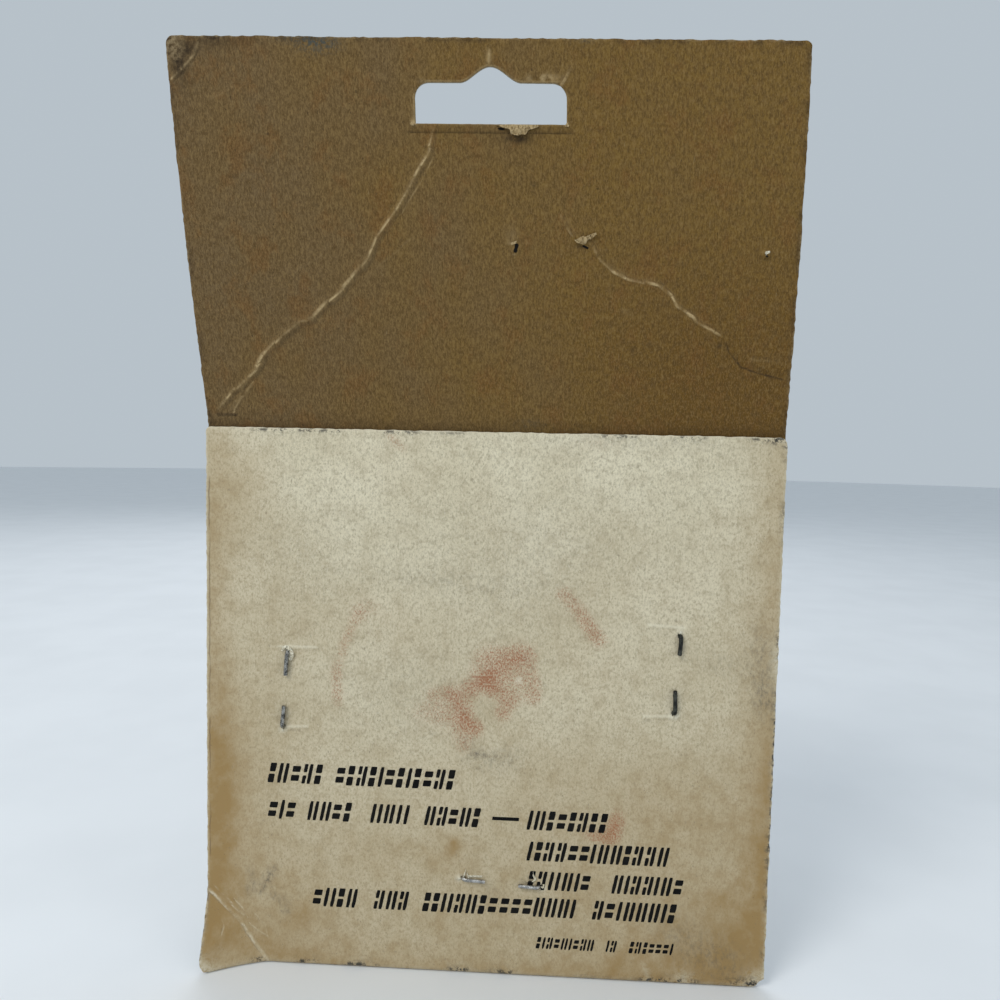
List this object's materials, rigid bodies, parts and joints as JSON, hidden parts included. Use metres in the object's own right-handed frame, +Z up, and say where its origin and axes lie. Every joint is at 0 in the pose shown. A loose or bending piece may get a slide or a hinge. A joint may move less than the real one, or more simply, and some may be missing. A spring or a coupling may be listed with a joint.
{
  "type": "carded tape measure",
  "caption": "Pocket tape measure in a clear stapled pocket on a folded kraft-backed hang card with a shaped hang slot.",
  "frame": {"origin": "top of the hang slot's hump, at the middle of the board's thickness, where a display peg carries the card", "axes": "+X across the card to the right as seen from its back, +Y from the card's back towards the tape, +Z up"},
  "size_m": [0.0904, 0.0331, 0.1397],
  "materials": {
    "board": "kraft paperboard, cream clay coating on the outer face",
    "staple_wire": "round galvanised wire, tarnished",
    "clear_plastic": "clear thermoformed sheet",
    "case_chrome": "chromed",
    "badge_enamel": "gloss red enamel",
    "fastener_steel": "plated",
    "spring_steel": "blued strip",
    "nylon": "natural nylon",
    "blade_enamel": "off-white enamel",
    "black_plastic": "satin",
    "rubber": "matt"
  },
  "bodies": {
    "card_pack": {"hang_card": "board", "staple_left": "staple_wire", "staple_right": "staple_wire", "staple_bottom": "staple_wire", "clear_blister": "clear_plastic"},
    "tape_case": {"case_front_shell": "case_chrome", "case_rear_shell": "case_chrome", "face_badge": "badge_enamel", "case_screw_1": "fastener_steel", "case_screw_2": "fastener_steel", "case_screw_3": "fastener_steel", "case_screw_4": "fastener_steel", "mouth_lip": "black_plastic", "arbor_post": "nylon"},
    "reel": {"reel_drum": "nylon", "reel_washer": "fastener_steel", "power_spring": "spring_steel", "blade_coil": "blade_enamel"},
    "blade_tip": {"blade_run": "blade_enamel", "hook_rivet_1": "fastener_steel", "hook_rivet_2": "fastener_steel"},
    "hook": {"end_hook": "fastener_steel"},
    "lock": {"lock_button": "black_plastic", "brake_pad": "rubber"}
  },
  "joints": [
    {"name": "tape_lift", "type": "slide", "parent": "card_pack", "child": "tape_case", "axis": [0, 0, 1], "range_m": [0, 0.06]},
    {"name": "reel_spin", "type": "hinge", "parent": "tape_case", "child": "reel", "pos_m": [-0.0005, 0.01957, -0.0891], "axis": [0, -1, 0], "range_deg": [0, 954.9], "stiffness_Nm_per_rad": 0.0002, "springref_deg": -1718.87},
    {"name": "blade_slide", "type": "slide", "parent": "tape_case", "child": "blade_tip", "axis": [1, 0, 0], "range_m": [0, 0.3], "deforming": ["blade_run"]},
    {"name": "hook_play", "type": "slide", "parent": "blade_tip", "child": "hook", "axis": [1, 0, 0], "range_m": [0, 0.0008]},
    {"name": "lock_slide", "type": "slide", "parent": "tape_case", "child": "lock", "axis": [0, 0, -1], "range_m": [0, 0.0036]}
  ],
  "couplings": [
    {"joint": "blade_slide", "follows": "reel_spin", "m_per_rad": 0.018}
  ]
}
